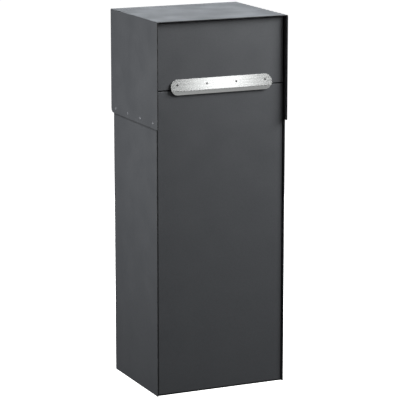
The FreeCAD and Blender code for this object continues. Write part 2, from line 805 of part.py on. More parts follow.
def deposit_flap():
    body = sheet_body("deposit_flap")
    width = ("-front_half", "front_half")
    block(body, "skin", width, ("face", "inside_face"), ("flap_bottom", "flap_top"))
    for side, sign in SIDES:
        block(body, "flange_" + side, outward(sign, "front_half - panel_sheet", "front_half"),
              ("face", "flap_back"), ("flap_bottom", "pivot_z + flap_pivot_margin"))
    block(body, "flange_bottom", width, ("face", "flap_back"), ("flap_bottom", "flap_bottom + panel_sheet"))
    block(body, "return_top", width, ("face", "face + flap_return"), ("flap_top - panel_sheet", "flap_top"))
    rounded(body, "bends", "panel_bend", lambda edge: near(edge.CenterOfMass.y, at("face")))
    drum(body, "rod_holes", "x", ("-front_half - 1", "pivot_y", "pivot_z"),
         "rod_radius + running_clearance", "2 * front_half + 2", cut=True)
    for number, across in enumerate(STUDS):
        drum(body, "stud_hole_%d" % number, "y", (across, "face - 1", "stud_height"), "stud_shank",
             "panel_sheet + 2", cut=True)


def tilted(item, start, size, axis, angle):
    """Bind a box that is turned about the x axis, or about its opposite, by an angle."""
    item.Placement = Placement(Vector(), Rotation(Vector(axis, 0, 0), 10))
    put(item, *start)
    bind(item, Length=size[0], Width=size[1], Height=size[2], Placement__Rotation__Angle=angle)
    return item


def across_plate(item, ahead_by, thick):
    """A box that lies along the strip's leaning plate, starting ahead of the plate's back."""
    start = ("-handle_length / 2", "fold_y - %s * cos(plate_lean)" % ahead_by,
             "handle_fold + %s * sin(plate_lean)" % ahead_by)
    return tilted(item, start, ("handle_length", thick, "plate_length"), -1, "plate_lean")


def flap_handle():
    """Stainless strip: a leaning plate, a fold and a lip, with round ends."""
    body = sheet_body("flap_handle")
    across_plate(body.newObject("PartDesign::AdditiveBox", "plate"), "handle_sheet", "handle_sheet")
    start = ("-handle_length / 2", "lip_y - handle_sheet * cos(lip_angle)",
             "handle_bottom - handle_sheet * sin(lip_angle)")
    tilted(body.newObject("PartDesign::AdditiveBox", "lip"), start,
           ("handle_length", "handle_sheet", "lip_length"), 1, "lip_angle")
    drum(body, "fold", "x", ("-handle_length / 2", "fold_y", "handle_fold"), "handle_sheet", "handle_length")
    sketch = flat_sketch(body, "round_ends", "XZ_Plane")
    frame_outline(sketch, "o", "trim_half", "trim_low", "trim_high")
    slot_outline(sketch, "i", "handle_run", "handle_round", "handle_middle")
    doc.recompute()
    ends = body.newObject("PartDesign::Pocket", "trim")
    ends.Profile = sketch
    ends.Type = "ThroughAll"
    ends.Midplane = True
    body.Tip = ends
    for number, across in enumerate(STUDS):
        drum(body, "stud_hole_%d" % number, "y", (across, "plate_front - 4", "stud_height"), "stud_shank",
             "12", cut=True)


def handle_fixings():
    """Spacers behind the strip, domed studs through it and nuts inside the flap."""
    spacers, studs, nuts = [], [], []
    for number, across in enumerate(STUDS):
        tag = "_%d" % number
        ahead = across_plate(doc.addObject("Part::Box", "ahead" + tag), "20", "20")
        behind = across_plate(doc.addObject("Part::Box", "behind" + tag), "handle_sheet", "20")
        start = (across, "plate_back - 4", "stud_height")
        blank = rod("spacer_blank" + tag, "y", start, "spacer_radius", "face - plate_back + 4")
        bore = rod("spacer_bore" + tag, "y", start, "stud_shank", "face - plate_back + 4")
        spacers.append(less("spacer" + tag, less("spacer_cut" + tag, blank, ahead), bore))
        start = (across, "plate_front - stud_head_height", "stud_height")
        head = rod("stud_head" + tag, "y", start, "stud_head", "stud_head_height + 2")
        tail = "inside_face + stud_nut_height + 1"
        shank = rod("stud_shank" + tag, "y", (across, "plate_front", "stud_height"), "stud_shank",
                    tail + " - plate_front")
        studs.append(joined("stud" + tag, [less("stud_cap" + tag, head, behind), shank]))
        start = (across, "inside_face", "stud_height")
        ring_blank = rod("nut_blank" + tag, "y", start, "stud_nut", "stud_nut_height")
        ring_bore = rod("nut_bore" + tag, "y", start, "stud_shank", "stud_nut_height")
        nuts.append(less("nut" + tag, ring_blank, ring_bore))
    group("handle_spacers", spacers)
    group("handle_studs", studs)
    group("handle_nuts", nuts)


def flap_link_brackets():
    """Two ears on the inside of the flap that hold the upper link pins."""
    ears = []
    level = "pivot_z - link_arm"
    for side, sign in SIDES:
        low, high = outward(sign, "tray_inner", "tray_half")
        tab = doc.addObject("Part::Box", "link_tab_" + side)
        put(tab, low, "inside_face", level + " - bracket_boss")
        bind(tab, Length="panel_sheet", Width="pivot_y - inside_face", Height="2 * bracket_boss")
        boss = rod("link_boss_" + side, "x", (low, "pivot_y", level), "bracket_boss", "panel_sheet")
        low, high = outward(sign, "tray_inner", "tray_half + bracket_foot")
        foot = doc.addObject("Part::Box", "link_foot_" + side)
        put(foot, low, "inside_face", level + " - bracket_boss")
        bind(foot, Length="panel_sheet + bracket_foot", Width="panel_sheet", Height="2 * bracket_boss")
        bore = rod("link_bore_" + side, "x", (low, "pivot_y", level), "pin_radius",
                   "panel_sheet + bracket_foot")
        ears.append(less("link_ear_" + side, joined("link_blank_" + side, [tab, boss, foot]), bore))
    group("flap_link_brackets", ears)


def shoulder_pins(label, y, z, near_end, far_end, head_inside):
    """A headed pin on each side; the head closes the inner or the outer end."""
    pins = []
    for side, sign in SIDES:
        low, high = outward(sign, near_end, far_end)
        shank = rod(label + "_shank_" + side, "x", (low, y, z), "pin_radius", "(%s) - (%s)" % (high, low))
        if head_inside:
            low, high = outward(sign, near_end + " - pin_head_height", near_end)
        else:
            low, high = outward(sign, far_end, far_end + " + pin_head_height")
        head = rod(label + "_head_" + side, "x", (low, y, z), "pin_head", "pin_head_height")
        pins.append(joined(label + "_" + side, [shank, head]))
    group(label, pins)


# ---------------------------------------------------------------------------
# Security tray and the links that raise it with the flap
# ---------------------------------------------------------------------------
def drop_tray():
    """Pan that hangs at the back of the hopper while the flap is shut."""
    body = sheet_body("drop_tray")
    back = "tray_y + tray_offset + panel_sheet"
    low = "tray_z - tray_length"
    block(body, "plate", ("-tray_half", "tray_half"), ("tray_y + tray_offset", back),
          (low, "tray_z - bracket_boss"))
    for side, sign in SIDES:
        block(body, "flange_" + side, outward(sign, "tray_inner", "tray_half"), ("tray_y - tray_lip", back),
              (low, "tray_z + bracket_boss"))
    for name, level, spare in (("pivot", "tray_z", "running_clearance"),
                               ("link", "tray_z - link_arm", "0")):
        drum(body, name + "_holes", "x", ("-tray_half - 1", "tray_y", level), "pin_radius + " + spare,
             "2 * tray_half + 2", cut=True)


def tray_edge_strip():
    """Soft channel pushed over the tray's free edge."""
    body = sheet_body("tray_edge_strip")
    reach = ("-link_inner + pin_head_height", "link_inner - pin_head_height")
    plate = "tray_y + tray_offset"
    low = "tray_z - tray_length"
    block(body, "strip", reach, (plate + " - edge_strip_wall", plate + " + panel_sheet + edge_strip_wall"),
          (low + " - edge_strip_wall", low + " + edge_strip_depth"))
    block(body, "groove", ("-tray_half", "tray_half"), (plate, plate + " + panel_sheet"),
          (low, low + " + edge_strip_depth + 1"), cut=True)


def tray_links():
    """Flat bar on each side from the flap's ear to the tray's flange."""
    upper = "pivot_z - link_arm"
    lower = "tray_z - link_arm"
    for side, sign in SIDES:
        body = sheet_body("tray_link_" + side)
        low = outward(sign, "link_inner", "link_outer")[0]
        start = (low, "pivot_y - link_half * link_fall / link_length",
                 upper + " - link_half * link_run / link_length")
        tilted(body.newObject("PartDesign::AdditiveBox", "bar"), start,
               ("link_sheet", "link_length", "2 * link_half"), -1, "link_tilt")
        drum(body, "upper_end", "x", (low, "pivot_y", upper), "link_half", "link_sheet")
        drum(body, "lower_end", "x", (low, "tray_y", lower), "link_half", "link_sheet")
        drum(body, "upper_hole", "x", (low + " - 1", "pivot_y", upper), "pin_radius + running_clearance",
             "link_sheet + 2", cut=True)
        drum(body, "lower_hole", "x", (low + " - 1", "tray_y", lower), "pin_radius + open_pivot_clearance",
             "link_sheet + 2", cut=True)


# ---------------------------------------------------------------------------
# Cam lock in the rear door, on the side away from its hinge
# ---------------------------------------------------------------------------
def cam_lock():
    place = "-lock_from_centre"
    flange = rod("lock_flange_disc", "y", (place, "body_back", "lock_height"), "lock_flange",
                 "lock_flange_height")
    barrel = rod("lock_barrel", "y", (place, "lock_inner", "lock_height"), "lock_thread", "lock_length")
    bore = rod("lock_bore", "y", (place, "lock_inner", "lock_height"), "plug_radius + plug_clearance",
               "lock_outer - lock_inner")
    single("lock_housing", less("housing", joined("housing_blank", [flange, barrel]), bore))

    nut = doc.addObject("Part::Prism", "nut_prism")
    nut.Polygon = 6
    nut.Placement = Placement(Vector(), TURNS["y"])
    put(nut, place, "door_skin - lock_nut_height", "lock_height")
    bind(nut, Circumradius="lock_nut_radius", Height="lock_nut_height")
    nut_bore = rod("lock_nut_bore", "y", (place, "door_skin - lock_nut_height", "lock_height"),
                   "lock_thread", "lock_nut_height")
    single("lock_nut", less("nut_ring", nut, nut_bore))

    plug = rod("plug_bar", "y", (place, "cam_outer", "lock_height"), "plug_radius",
               "lock_outer - cam_outer")
    slot = doc.addObject("Part::Box", "key_slot")
    put(slot, place + " - key_slot_width / 2", "lock_outer - key_slot_depth",
        "lock_height - key_slot_length / 2")
    bind(slot, Length="key_slot_width", Width="key_slot_depth + 1", Height="key_slot_length")
    single("lock_plug", less("plug", plug, slot))

    body = sheet_body("lock_cam")
    end = "lock_height - cam_length + cam_half"
    depth = ("cam_inner", "cam_outer")
    block(body, "arm", (place + " - cam_half", place + " + cam_half"), depth, (end, "lock_height"))
    drum(body, "eye", "y", (place, "cam_inner", "lock_height"), "cam_half", "cam_sheet")
    drum(body, "tip", "y", (place, "cam_inner", end), "cam_half", "cam_sheet")
    screw = rod("screw_head", "y", (place, "cam_inner - cam_screw_height", "lock_height"),
                "cam_screw_head", "cam_screw_height")
    single("lock_cam_screw", screw)


# ---------------------------------------------------------------------------
# Rubber stops
# ---------------------------------------------------------------------------
def bumpers():
    stops = []
    for number in range(3):
        level = "bumper_first + %d * bumper_step" % number
        stops.append(rod("door_stop_%d" % number, "y", ("-door_half", "rail_outer", level),
                         "bumper_radius", "door_edge - rail_outer - bumper_gap"))
    group("door_bumpers", stops)
    pads = []
    for side, sign in SIDES:
        pads.append(rod("flap_pad_" + side, "y",
                        (sign + "(surround_half + throat_half) / 2", "flap_back + bumper_gap",
                         "flap_bottom + bumper_radius / 2"),
                        "bumper_radius", "flap_stop - bumper_gap"))
    group("flap_bumpers", pads)


BUILDERS = (
    cabinet_shell, hood, hood_rivets, base_plate, front_sill, jambs, head_rail, front_panel, stiffeners,
    rear_door, hinge_plates, door_pins, door_washer, door_bushes, lock_rail, flap_surround, hopper_shell,
    flap_hinge_brackets, flap_hinge_rod, deposit_flap, flap_handle, handle_fixings, flap_link_brackets,
    drop_tray, tray_edge_strip, tray_links, cam_lock, bumpers,
)
for build in BUILDERS:
    build()
link_end = ("link_inner - link_gap / 2", "tray_half", True)
shoulder_pins("flap_link_pins", "pivot_y", "pivot_z - link_arm", *link_end)
shoulder_pins("tray_link_pins", "tray_y", "tray_z - link_arm", *link_end)
shoulder_pins("tray_pivot_pins", "tray_y", "tray_z", "tray_inner - 1", "throat_half + panel_sheet", False)

# ---------------------------------------------------------------------------
# Check everything, then write one file per sub-part
# ---------------------------------------------------------------------------
doc.recompute()
for item in doc.Objects:
    if "Invalid" in item.State or "Error" in item.State:
        raise RuntimeError("%s failed: %s" % (item.Name, item.State))
for label, item in parts.items():
    if item.Shape.isNull() or not item.Shape.isValid() or not item.Shape.Solids:
        raise RuntimeError("%s has no valid solid" % label)

os.makedirs("parts", exist_ok=True)
for label, item in parts.items():
    item.Shape.exportStep(os.path.join("parts", label + ".step"))
    print("%-22s %2d solids  %12.1f mm3" % (label, len(item.Shape.Solids), item.Shape.Volume))
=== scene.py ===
from math import atan, cos, pi, radians, sin, sqrt

import bmesh
import bpy
from mathutils import Matrix, Vector


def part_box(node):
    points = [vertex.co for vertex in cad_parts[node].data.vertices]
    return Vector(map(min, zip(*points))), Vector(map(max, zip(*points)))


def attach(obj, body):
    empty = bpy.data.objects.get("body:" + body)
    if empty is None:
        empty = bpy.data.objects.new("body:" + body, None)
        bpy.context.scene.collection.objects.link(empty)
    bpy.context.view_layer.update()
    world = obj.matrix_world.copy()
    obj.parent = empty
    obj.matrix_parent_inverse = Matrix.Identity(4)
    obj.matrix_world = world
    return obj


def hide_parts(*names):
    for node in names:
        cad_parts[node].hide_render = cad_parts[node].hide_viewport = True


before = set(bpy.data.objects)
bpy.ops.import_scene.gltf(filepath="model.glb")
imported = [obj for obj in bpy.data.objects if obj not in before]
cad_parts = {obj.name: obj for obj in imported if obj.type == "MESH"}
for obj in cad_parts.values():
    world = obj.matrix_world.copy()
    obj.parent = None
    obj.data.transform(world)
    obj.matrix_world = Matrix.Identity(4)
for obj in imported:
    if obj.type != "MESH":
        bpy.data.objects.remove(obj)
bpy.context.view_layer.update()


# ---------------------------------------------------------------------------
# Folded cabinet: shell, hood, base, jambs, rails, front panel, flap, rear door
# Mild steel sheet, folded and spot-welded, then coated as loose panels before
# it is put together, so every edge and inner face has the same grey coat.
# ---------------------------------------------------------------------------
MM = 0.001


def srgb(code):
    """A hex colour as linear red, green, blue and full alpha."""
    parts = [int(code[i:i + 2], 16) / 255 for i in (1, 3, 5)]
    return [p / 12.92 if p <= 0.04045 else ((p + 0.055) / 1.055) ** 2.4 for p in parts] + [1.0]


def add_node(tree, kind, settings=(), links=(), ramp=(), **options):
    """Adds one node. Settings are socket values, links are (socket, from_node, from_socket),
    ramp is (position, colour) of each stop of a colour ramp, and options are the node's own."""
    node = tree.nodes.new(kind)
    for name, value in options.items():
        setattr(node, name, value)
    for number, (position, colour) in enumerate(ramp):
        node.color_ramp.elements[number].position = position
        node.color_ramp.elements[number].color = srgb(colour)
    for name, value in dict(settings).items():
        node.inputs[name].default_value = value
    for name, source, output in links:
        tree.links.new(source.outputs[output], node.inputs[name])
    return node


def new_finish(name, **values):
    """A material, its node tree, its shader and the object coordinates that its patterns read."""
    made = bpy.data.materials.new(name)
    made.use_nodes = True
    tree = made.node_tree
    shader = tree.nodes["Principled BSDF"]
    for socket, value in values.items():
        shader.inputs[socket.replace("_", " ")].default_value = value
    return made, tree, shader, add_node(tree, "ShaderNodeTexCoord")


def dress(names, finish):
    """Gives CAD nodes a finish in place of their plain one."""
    for name in names:
        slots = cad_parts[name].data.materials
        slots.clear()
        slots.append(finish)


def powder_coat_finish(name, front_edge, rim=None):
    """Fine matt polyester powder coat, anthracite: a soft broad sheen with a tight even grain.
    Its real grain is about 0.1 mm and is drawn coarser, so that it shows. A dark band painted
    along the sheet's cut front edge is painted shade, for the shadow in the gap beside that edge,
    and where a rim overhangs the sheet, a second dark band under the rim is a painted shadow."""
    GRAIN_MM, SPECK_MM, CLOUD_MM = 0.9, 2.2, 70
    EDGE_SHADE_MM, RIM_SHADOW_MM = 2.0, 7.0
    PAINTED_SHADE = "#0b0c0d"
    made, tree, shader, place = new_finish(name, IOR=1.5)
    grain = add_node(tree, "ShaderNodeTexNoise", {"Scale": 1 / (GRAIN_MM * MM), "Detail": 3.0},
                     [("Vector", place, "Object")])
    cloud = add_node(tree, "ShaderNodeTexNoise", {"Scale": 1 / (CLOUD_MM * MM), "Detail": 2.0},
                     [("Vector", place, "Object")])
    speck = add_node(tree, "ShaderNodeTexNoise", {"Scale": 1 / (SPECK_MM * MM), "Detail": 2.0},
                     [("Vector", place, "Object")])
    grey = add_node(tree, "ShaderNodeValToRGB", links=[("Fac", speck, "Fac")],
                    ramp=[(0.3, "#3f4144"), (0.7, "#45474a")])
    depth = add_node(tree, "ShaderNodeSeparateXYZ", links=[("Vector", place, "Object")])
    # Painted shade: a dark band 2 mm deep along the sheet's front edge stands for the shadow in the
    # gap beside it.
    cut = add_node(tree, "ShaderNodeMath", {1: front_edge + EDGE_SHADE_MM * MM}, [(0, depth, "Y")],
                   operation="LESS_THAN")
    colour = add_node(tree, "ShaderNodeMix", {"B": srgb(PAINTED_SHADE)},
                      [("Factor", cut, "Value"), ("A", grey, "Color")], data_type="RGBA")
    # Painted shadow: the colour darkens over the 7 mm below the rim, most right under it, where the
    # rim shades the sheet.
    if rim:
        under = add_node(tree, "ShaderNodeMapRange",
                         {"From Min": rim - RIM_SHADOW_MM * MM, "From Max": rim, "To Max": 0.75},
                         [("Value", depth, "Z")])
        colour = add_node(tree, "ShaderNodeMix", {"B": srgb(PAINTED_SHADE)},
                          [("Factor", under, "Result"), ("A", colour, "Result")], data_type="RGBA")
    tree.links.new(colour.outputs["Result"], shader.inputs["Base Color"])
    rough = add_node(tree, "ShaderNodeMapRange",
                     {"From Min": 0.3, "From Max": 0.7, "To Min": 0.44, "To Max": 0.54},
                     [("Value", cloud, "Fac")])
    tree.links.new(rough.outputs["Result"], shader.inputs["Roughness"])
    bump = add_node(tree, "ShaderNodeBump", {"Strength": 0.12, "Distance": 0.05 * MM},
                    [("Height", grain, "Fac")])
    tree.links.new(bump.outputs["Normal"], shader.inputs["Normal"])
    return made


dress(["hood"], powder_coat_finish("hood_powder_coat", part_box("hood")[0].y))
front_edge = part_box("cabinet_shell")[0].y
dress(["cabinet_shell"], powder_coat_finish("shell_powder_coat", front_edge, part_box("hood")[0].z))
dress(["base_plate", "front_sill", "jamb_left", "jamb_right", "head_rail",
       "front_panel", "front_stiffener", "flap_surround", "deposit_flap", "rear_door",
       "door_stiffener", "lock_rail"],
      powder_coat_finish("cabinet_powder_coat", front_edge))


# ---------------------------------------------------------------------------
# Rivets along each lower edge of the hood
# Steel blind rivets with low domes, sprayed after fitting, so the coat on them
# is thinner and a little glossier than on the sheet.
# ---------------------------------------------------------------------------
def rivet_finish():
    """Sprayed paint over zinc: a lighter grey that wears a little on the dome."""
    WEAR_MM = 3
    made, tree, shader, place = new_finish("sprayed_rivet_paint", IOR=1.5, Coat_Weight=0.2,
                                           Coat_Roughness=0.3)
    wear = add_node(tree, "ShaderNodeTexNoise", {"Scale": 1 / (WEAR_MM * MM)},
                    [("Vector", place, "Object")])
    colour = add_node(tree, "ShaderNodeValToRGB", links=[("Fac", wear, "Fac")],
                      ramp=[(0.3, "#5e6064"), (0.7, "#6c6e72")])
    tree.links.new(colour.outputs["Color"], shader.inputs["Base Color"])
    rough = add_node(tree, "ShaderNodeMapRange", {"To Min": 0.30, "To Max": 0.42},
                     [("Value", wear, "Fac")])
    tree.links.new(rough.outputs["Result"], shader.inputs["Roughness"])
    return made


dress(["hood_rivets_left", "hood_rivets_right"], rivet_finish())


# ---------------------------------------------------------------------------
# Hopper and tray behind the throat
# Hot-dip galvanised sheet, left bare inside the box: pale grey with large
# frost-like crystals of zinc that turn the light a little differently.
# ---------------------------------------------------------------------------
def galvanised_finish():
    """Weathered zinc: each crystal has its own grey and its own roughness."""
    SPANGLE_MM = 9
    made, tree, shader, place = new_finish("galvanised_sheet", Metallic=1.0)
    spangle = add_node(tree, "ShaderNodeTexVoronoi", {"Scale": 1 / (SPANGLE_MM * MM)},
                       [("Vector", place, "Object")])
    value = add_node(tree, "ShaderNodeSeparateColor", links=[("Color", spangle, "Color")])
    colour = add_node(tree, "ShaderNodeValToRGB", links=[("Fac", value, "Red")],
                      ramp=[(0.3, "#8b9092"), (0.7, "#a6abad")])
    tree.links.new(colour.outputs["Color"], shader.inputs["Base Color"])
    rough = add_node(tree, "ShaderNodeMapRange", {"To Min": 0.5, "To Max": 0.66},
                     [("Value", value, "Green")])
    tree.links.new(rough.outputs["Result"], shader.inputs["Roughness"])
    return made


dress(["hopper_shell", "drop_tray"], galvanised_finish())


# ---------------------------------------------------------------------------
# Brackets, links, hinge plates, nuts and cam
# Pressed steel with bright zinc plate: a cool, slightly cloudy bright grey.
# ---------------------------------------------------------------------------
def zinc_finish():
    """Electroplated zinc: bright, with soft clouds where the passivation took unevenly."""
    CLOUD_MM = 6
    made, tree, shader, place = new_finish("bright_zinc_plate", Metallic=1.0)
    cloud = add_node(tree, "ShaderNodeTexNoise", {"Scale": 1 / (CLOUD_MM * MM), "Detail": 4.0},
                     [("Vector", place, "Object")])
    colour = add_node(tree, "ShaderNodeValToRGB", links=[("Fac", cloud, "Fac")],
                      ramp=[(0.3, "#b4b8bc"), (0.7, "#c9ccd0")])
    tree.links.new(colour.outputs["Color"], shader.inputs["Base Color"])
    rough = add_node(tree, "ShaderNodeMapRange", {"To Min": 0.26, "To Max": 0.40},
                     [("Value", cloud, "Fac")])
    tree.links.new(rough.outputs["Result"], shader.inputs["Roughness"])
    return made


dress(["hinge_plate_lower", "hinge_plate_upper", "flap_hinge_brackets", "flap_link_brackets",
       "tray_link_left", "tray_link_right", "handle_nuts", "lock_nut", "lock_cam", "lock_cam_screw"],
      zinc_finish())


# ---------------------------------------------------------------------------
# Hinge rod and pins
# Ground stainless bar: fine rings round the bar from turning.
# ---------------------------------------------------------------------------
def turned_bar_finish():
    """Turned stainless: rings 0.4 mm apart across the bar, coarser than real ones, so they show."""
    RING_MM = 0.4
    made, tree, shader, place = new_finish("turned_stainless_bar", Metallic=1.0)
    stretch = add_node(tree, "ShaderNodeMapping", {"Scale": (1 / (RING_MM * MM), 1.0, 1.0)},
                       [("Vector", place, "Object")])
    rings = add_node(tree, "ShaderNodeTexNoise", {"Scale": 1.0, "Detail": 2.0},
                     [("Vector", stretch, "Vector")])
    colour = add_node(tree, "ShaderNodeValToRGB", links=[("Fac", rings, "Fac")],
                      ramp=[(0.3, "#bcbcba"), (0.7, "#cdcdcb")])
    tree.links.new(colour.outputs["Color"], shader.inputs["Base Color"])
    rough = add_node(tree, "ShaderNodeMapRange", {"To Min": 0.18, "To Max": 0.30},
                     [("Value", rings, "Fac")])
    tree.links.new(rough.outputs["Result"], shader.inputs["Roughness"])
    return made


dress(["flap_hinge_rod", "door_pin_lower", "door_pin_upper", "flap_link_pins", "tray_link_pins",
       "tray_pivot_pins", "handle_spacers"], turned_bar_finish())


# ---------------------------------------------------------------------------
# Grip strip across the joint of flap and front panel
# Stainless sheet 1.5 mm thick, brushed along its length, with round ends, a
# soft fold and a lip turned back for the fingers. Its edges are broken by hand.
# ---------------------------------------------------------------------------
def brushed_strip_finish():
    """Satin stainless, ground along its length: fine long grain with a few broader streaks.
    The grain is drawn at 0.5 mm, about five times its real width, so that it shows."""
    GRAIN_MM, RUN_MM, STREAK_MM = 0.5, 60, 4
    made, tree, shader, place = new_finish("brushed_stainless", Metallic=1.0)
    scale = (1 / (RUN_MM * MM), 1 / (GRAIN_MM * MM), 1 / (GRAIN_MM * MM))
    along = add_node(tree, "ShaderNodeMapping", {"Scale": scale}, [("Vector", place, "Object")])
    grain = add_node(tree, "ShaderNodeTexNoise", {"Scale": 1.0, "Detail": 2.0},
                     [("Vector", along, "Vector")])
    scale = (1 / (2 * RUN_MM * MM), 1 / (STREAK_MM * MM), 1 / (STREAK_MM * MM))
    broad = add_node(tree, "ShaderNodeMapping", {"Scale": scale}, [("Vector", place, "Object")])
    streak = add_node(tree, "ShaderNodeTexNoise", {"Scale": 1.0}, [("Vector", broad, "Vector")])
    colour = add_node(tree, "ShaderNodeValToRGB", links=[("Fac", streak, "Fac")],
                      ramp=[(0.3, "#dadcdb"), (0.7, "#e6e8e7")])
    tree.links.new(colour.outputs["Color"], shader.inputs["Base Color"])
    rough = add_node(tree, "ShaderNodeMapRange",
                     {"From Min": 0.3, "From Max": 0.7, "To Min": 0.14, "To Max": 0.22},
                     [("Value", grain, "Fac")])
    tree.links.new(rough.outputs["Result"], shader.inputs["Roughness"])
    bump = add_node(tree, "ShaderNodeBump", {"Strength": 0.15, "Distance": 0.02 * MM},
                    [("Height", grain, "Fac")])
    tree.links.new(bump.outputs["Normal"], shader.inputs["Normal"])
    return made


def finished(name, bm, finish, smooth=True):
    """A mesh object at the origin from a bmesh, with its doubles merged and its faces outward."""
    bmesh.ops.remove_doubles(bm, verts=bm.verts, dist=1e-6)
    bmesh.ops.recalc_face_normals(bm, faces=bm.faces)
    mesh = bpy.data.meshes.new(name)
    bm.to_mesh(mesh)
    bm.free()
    for face in mesh.polygons:
        face.use_smooth = smooth
    mesh.materials.append(finish)
    piece = bpy.data.objects.new(name, mesh)
    bpy.context.scene.collection.objects.link(piece)
    return piece


def soft_edges(piece, size, segments):
    """Small rounds on the sharp edges of a piece, with flat faces kept flat."""
    bevel = piece.modifiers.new("broken_edges", "BEVEL")
    bevel.width = size
    bevel.segments = segments
    bevel.limit_method = "ANGLE"
    bevel.angle_limit = radians(30)
    bevel.harden_normals = True


def grip_strip():
    """A flat round-ended blank, cut into bands over its fold, then pushed back to its bent line.
    Above the fold it leans back 6.5 mm in 31.7 mm; below it the lip turns back 8 degrees."""
    THICK, FOLD_ROUND, BROKEN_EDGE = 1.5 * MM, 3.2 * MM, 0.35 * MM
    LEAN, LIP = atan(6.5 / 31.7), radians(8)
    FOLD_Z, FOLD_BANDS, END_POINTS = 0.8738, 8, 96
    low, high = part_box("flap_handle")
    half, end = (high.x - low.x) / 2, (high.z - low.z) / 2
    middle = (high.z + low.z) / 2
    bm = bmesh.new()
    bmesh.ops.create_circle(bm, cap_ends=True, segments=END_POINTS, radius=end)
    bmesh.ops.rotate(bm, verts=bm.verts, matrix=Matrix.Rotation(pi / 2, 3, "X"))
    for side in (-1, 1):
        outer = [v for v in bm.verts if v.co.x * side > 1e-6]
        bmesh.ops.translate(bm, verts=outer, vec=(side * (half - end), 0, 0))
    bmesh.ops.translate(bm, verts=bm.verts, vec=(0, 0, middle))
    reach = FOLD_ROUND * sin(LEAN)
    drop = FOLD_ROUND * sin(LIP)
    for number in range(FOLD_BANDS + 1):
        level = FOLD_Z - drop + (reach + drop) * number / FOLD_BANDS
        bmesh.ops.bisect_plane(bm, geom=bm.verts[:] + bm.edges[:] + bm.faces[:],
                               plane_co=(0, 0, level), plane_no=(0, 0, 1))
    centre_y = low.y + FOLD_ROUND
    for v in bm.verts:
        rise = v.co.z - FOLD_Z
        if rise > reach:
            v.co.y = centre_y - FOLD_ROUND * cos(LEAN) + (rise - reach) * sin(LEAN) / cos(LEAN)
        elif rise < -drop:
            v.co.y = centre_y - FOLD_ROUND * cos(LIP) - (rise + drop) * sin(LIP) / cos(LIP)
        else:
            v.co.y = centre_y - sqrt(FOLD_ROUND ** 2 - rise ** 2)
    strip = finished("grip_strip", bm, brushed_strip_finish())
    if strip.data.polygons[0].normal.y > 0:
        strip.data.flip_normals()
    wall = strip.modifiers.new("wall", "SOLIDIFY")
    wall.thickness = THICK
    wall.offset = -1
    soft_edges(strip, BROKEN_EDGE, 3)
    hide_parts("flap_handle")
    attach(strip, "flap")


grip_strip()


# ---------------------------------------------------------------------------
# Studs that hold the strip
# Stainless studs through spacers, with nuts behind the flap. They are darker than
# the strip, because their small heads reflect the ground and not the light.
# ---------------------------------------------------------------------------
def stud_finish():
    """Unpolished stainless: a dull grey metal with small marks from the tool that drove it."""
    MARK_MM = 1.2
    made, tree, shader, place = new_finish("dull_stainless_stud", Metallic=1.0)
    marks = add_node(tree, "ShaderNodeTexNoise", {"Scale": 1 / (MARK_MM * MM)},
                     [("Vector", place, "Object")])
    colour = add_node(tree, "ShaderNodeValToRGB", links=[("Fac", marks, "Fac")],
                      ramp=[(0.3, "#6f7072"), (0.7, "#838486")])
    tree.links.new(colour.outputs["Color"], shader.inputs["Base Color"])
    rough = add_node(tree, "ShaderNodeMapRange", {"To Min": 0.28, "To Max": 0.42},
                     [("Value", marks, "Fac")])
    tree.links.new(rough.outputs["Result"], shader.inputs["Roughness"])
    return made


dress(["handle_studs"], stud_finish())


# ---------------------------------------------------------------------------
# Cam lock in the rear door
# Zinc die-casting, polished and nickel plated, with a turned plug and keyway.
# ---------------------------------------------------------------------------
def nickel_finish():
    """Polished nickel: warm and mirror-like, with the faint haze of handling."""
    HAZE_MM = 2.5
    made, tree, shader, place = new_finish("polished_nickel", Metallic=1.0)
    haze = add_node(tree, "ShaderNodeTexNoise", {"Scale": 1 / (HAZE_MM * MM), "Detail": 3.0},
                    [("Vector", place, "Object")])
    colour = add_node(tree, "ShaderNodeValToRGB", links=[("Fac", haze, "Fac")],
                      ramp=[(0.3, "#cfccc6"), (0.7, "#dedbd5")])
    tree.links.new(colour.outputs["Color"], shader.inputs["Base Color"])
    rough = add_node(tree, "ShaderNodeMapRange", {"To Min": 0.10, "To Max": 0.20},
                     [("Value", haze, "Fac")])
    tree.links.new(rough.outputs["Result"], shader.inputs["Roughness"])
    return made


dress(["lock_housing", "lock_plug"], nickel_finish())


# ---------------------------------------------------------------------------
# Rubber stops and the tray's edge strip
# Moulded EPDM rubber: nearly black, dull, with a faint bloom on it.
# ---------------------------------------------------------------------------
def rubber_finish():
    """Moulded EPDM: soft black with a grey bloom, hardly any shine."""
    BLOOM_MM = 2
    made, tree, shader, place = new_finish("moulded_rubber", IOR=1.52)
    bloom = add_node(tree, "ShaderNodeTexNoise", {"Scale": 1 / (BLOOM_MM * MM), "Detail": 3.0},
                     [("Vector", place, "Object")])
    colour = add_node(tree, "ShaderNodeValToRGB", links=[("Fac", bloom, "Fac")],
                      ramp=[(0.3, "#161616"), (0.7, "#212121")])
    tree.links.new(colour.outputs["Color"], shader.inputs["Base Color"])
    rough = add_node(tree, "ShaderNodeMapRange", {"To Min": 0.6, "To Max": 0.8},
                     [("Value", bloom, "Fac")])
    tree.links.new(rough.outputs["Result"], shader.inputs["Roughness"])
    return made


dress(["door_bumpers", "flap_bumpers", "tray_edge_strip"], rubber_finish())


